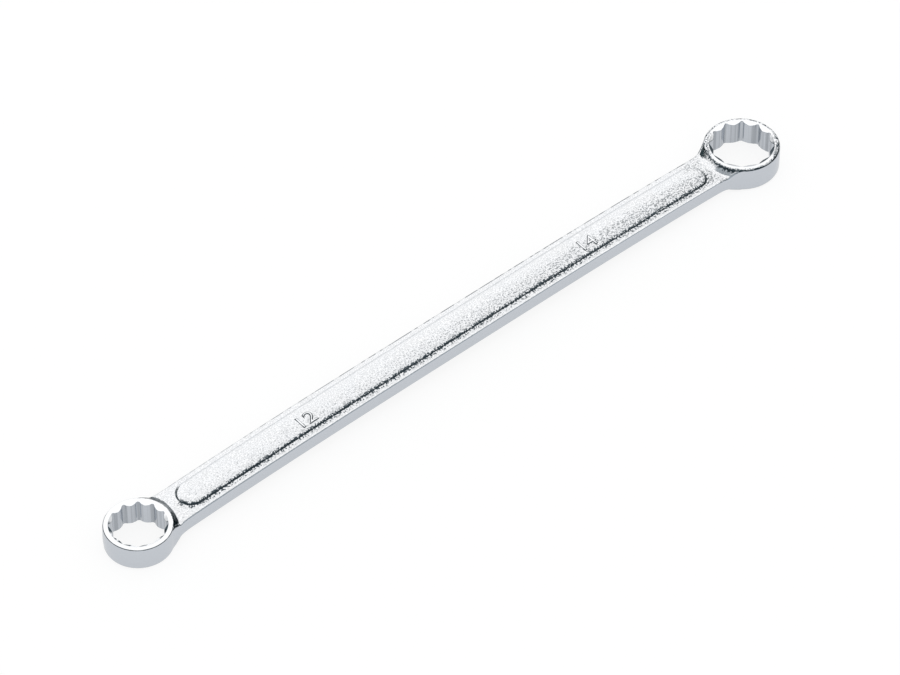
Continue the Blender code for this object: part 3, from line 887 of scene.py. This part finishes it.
def chrome_grain_and_painted_shade():
    """The finish of all the chrome: its colour, with painted shade and painted dark reflections in it, its roughness
    and the height of its grain. Blasted is how deep the grain is, and the side input is how much painted shade
    darkens steep sides."""
    inputs = {"Vector": None, "Normal": None, "Blasted": 1.0, "Side Shade": 0.0}
    tree, given, result = new_group("chrome_grain_and_painted_shade", inputs, ("Color", "Roughness", "Height"))
    place = given.outputs["Vector"]
    blasted = given.outputs["Blasted"]
    axes = split_up(tree, place)
    level = absolute(tree, split_up(tree, given.outputs["Normal"])["Z"])
    reach = {head.size: ring_reach(tree, axes, head) for head in (HEAD_12, HEAD_14)}
    fine = noise(tree, place, GRAIN_SCALE, 2, 0.6)
    slow = noise(tree, place, BLOTCH_SCALE, 2)
    gloss = stepped(tree, noise(tree, place, GLOSS_SCALE, 4), (0.3, 0.7))
    tone = stepped(tree, noise(tree, place, TONE_SCALE, 3), (0.25, 0.75))

    amount = largest(tree, product(tree, grain_amount(tree, axes, level, reach), blasted),
                     rough_rim(tree, axes, level, reach))
    tree.links.new(product(tree, fine, amount), result.inputs["Height"])
    rough = math_node(tree, "ADD", stepped(tree, gloss, (0, 1), *GLOSS),
                      math_node(tree, "MULTIPLY", amount, GRAIN_GLOSS))
    tree.links.new(rough, result.inputs["Roughness"])

    stray = math_node(tree, "SUBTRACT", fine, 0.5)
    ragged = math_node(tree, "MULTIPLY", stray, RAGGED)
    front = heading(tree, axes, HEAD_12, reach, FRONT_SIDE)
    speck = stepped(tree, noise(tree, place, HAZE_SCALE, 1), (0.62, 0.4))
    # The dark marks: painted dark reflections and shade, the figures' painted side shade, and the grain's haze and
    # pits
    dark = largest(tree, panel_painted_shade(tree, axes, level, stray, ragged),
                   joint_painted_reflection(tree, axes, level, reach, stray, ragged),
                   ramp_painted_reflection(tree, axes, level, reach, ragged, front),
                   rim_painted_reflection(tree, axes, level, reach, slow, front),
                   product(tree, back_edge_painted_reflection(tree, axes, level, slow), blasted),
                   product(tree, stepped(tree, level, FIGURE_SIDES), given.outputs["Side Shade"]),
                   product(tree, stepped(tree, level, HAZE_TOPS, 0.0, HAZE), speck, blasted),
                   pits(tree, fine, amount),
                   bore_painted_shade(tree, axes, level, reach, HEAD_12, slow),
                   bore_painted_shade(tree, axes, level, reach, HEAD_14, slow))

    # Steep sides take the darker, bluer steel as painted shade, and the rest takes the steel of the tops
    tint = node(tree, "ShaderNodeMix", data_type="RGBA")
    tint.inputs["A"].default_value = STEEL_SIDES_PAINTED_SHADE
    tint.inputs["B"].default_value = STEEL_TOPS
    shade = math_node(tree, "MULTIPLY", tone, TONE_SHARE)
    toned = math_node(tree, "SUBTRACT", stepped(tree, level, TINT_TOPS), shade, clamp=True)
    tree.links.new(toned, tint.inputs["Factor"])
    # The dark colour goes over the steel at the pits and where shade and reflections are painted
    pits_and_painted_shade = node(tree, "ShaderNodeMix", data_type="RGBA")
    pits_and_painted_shade.inputs["B"].default_value = PIT_AND_PAINTED_SHADE_COLOUR
    tree.links.new(tint.outputs["Result"], pits_and_painted_shade.inputs["A"])
    tree.links.new(dark, pits_and_painted_shade.inputs["Factor"])
    tree.links.new(pits_and_painted_shade.outputs["Result"], result.inputs["Color"])
    return tree


def chrome(name, finish, blasted, sides):
    """Chrome plate over steel, with its own values of the shared finish and of its painted shade on steep sides."""
    material = bpy.data.materials.new(name)
    material.use_nodes = True
    tree = material.node_tree
    shader = tree.nodes["Principled BSDF"]
    shader.inputs["Metallic"].default_value = 1.0
    grain_and_shade_group = node(tree, "ShaderNodeGroup", node_tree=finish)
    grain_and_shade_group.inputs["Blasted"].default_value = blasted
    grain_and_shade_group.inputs["Side Shade"].default_value = sides
    tree.links.new(node(tree, "ShaderNodeTexCoord").outputs["Object"], grain_and_shade_group.inputs["Vector"])
    tree.links.new(node(tree, "ShaderNodeNewGeometry").outputs["Normal"], grain_and_shade_group.inputs["Normal"])
    bump = node(tree, "ShaderNodeBump")
    bump.inputs["Distance"].default_value = GRAIN_DEPTH
    tree.links.new(grain_and_shade_group.outputs["Height"], bump.inputs["Height"])
    tree.links.new(bump.outputs[0], shader.inputs["Normal"])
    tree.links.new(grain_and_shade_group.outputs["Color"], shader.inputs["Base Color"])
    tree.links.new(grain_and_shade_group.outputs["Roughness"], shader.inputs["Roughness"])
    return material


def dressed(item, node_name, material):
    item.data.materials.clear()
    item.data.materials.append(material)
    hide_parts(node_name)
    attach(item, "root")


bpy.context.scene.view_settings.view_transform = "Standard"
camera()
world()
floor()
surround("silk_tent", "lit_silk", SILK_COLOUR, SILK_LIGHT, TENT_RADIUS, TENT_HEM, TENT_TOP)
surround("silk_hem", "dim_silk", HEM_COLOUR, HEM_LIGHT, TENT_RADIUS, 0, TENT_HEM)
surround("side_cloth", "dark_cloth", CLOTH_COLOUR, CLOTH_LIGHT, CLOTH_RADIUS, 0, TENT_HEM, CLOTH_SHARE)
surround("dim_room", "room_shade", ROOM_COLOUR, ROOM_LIGHT, ROOM_RADIUS, 0, ROOM_TOP, ROOM_SHARE)
finish = chrome_grain_and_painted_shade()
bright = chrome("ground_chrome", finish, blasted=0.0, sides=0.0)
satin = chrome("blasted_chrome", finish, blasted=1.0, sides=0.0)
# The figures' steep sides are darkened with painted shade
raised = chrome("figure_chrome", finish, blasted=0.0, sides=0.95)
for head, place in ((HEAD_12, FIGURE_12_PLACE), (HEAD_14, FIGURE_14_PLACE)):
    for piece, chromed in ((ring(head), bright), (neck(head), satin)):
        dressed(smoothed(piece), head.node, chromed)
    dressed(smoothed(figures(head, place)), "shank", raised)
dressed(smoothed(shank()), "shank", satin)
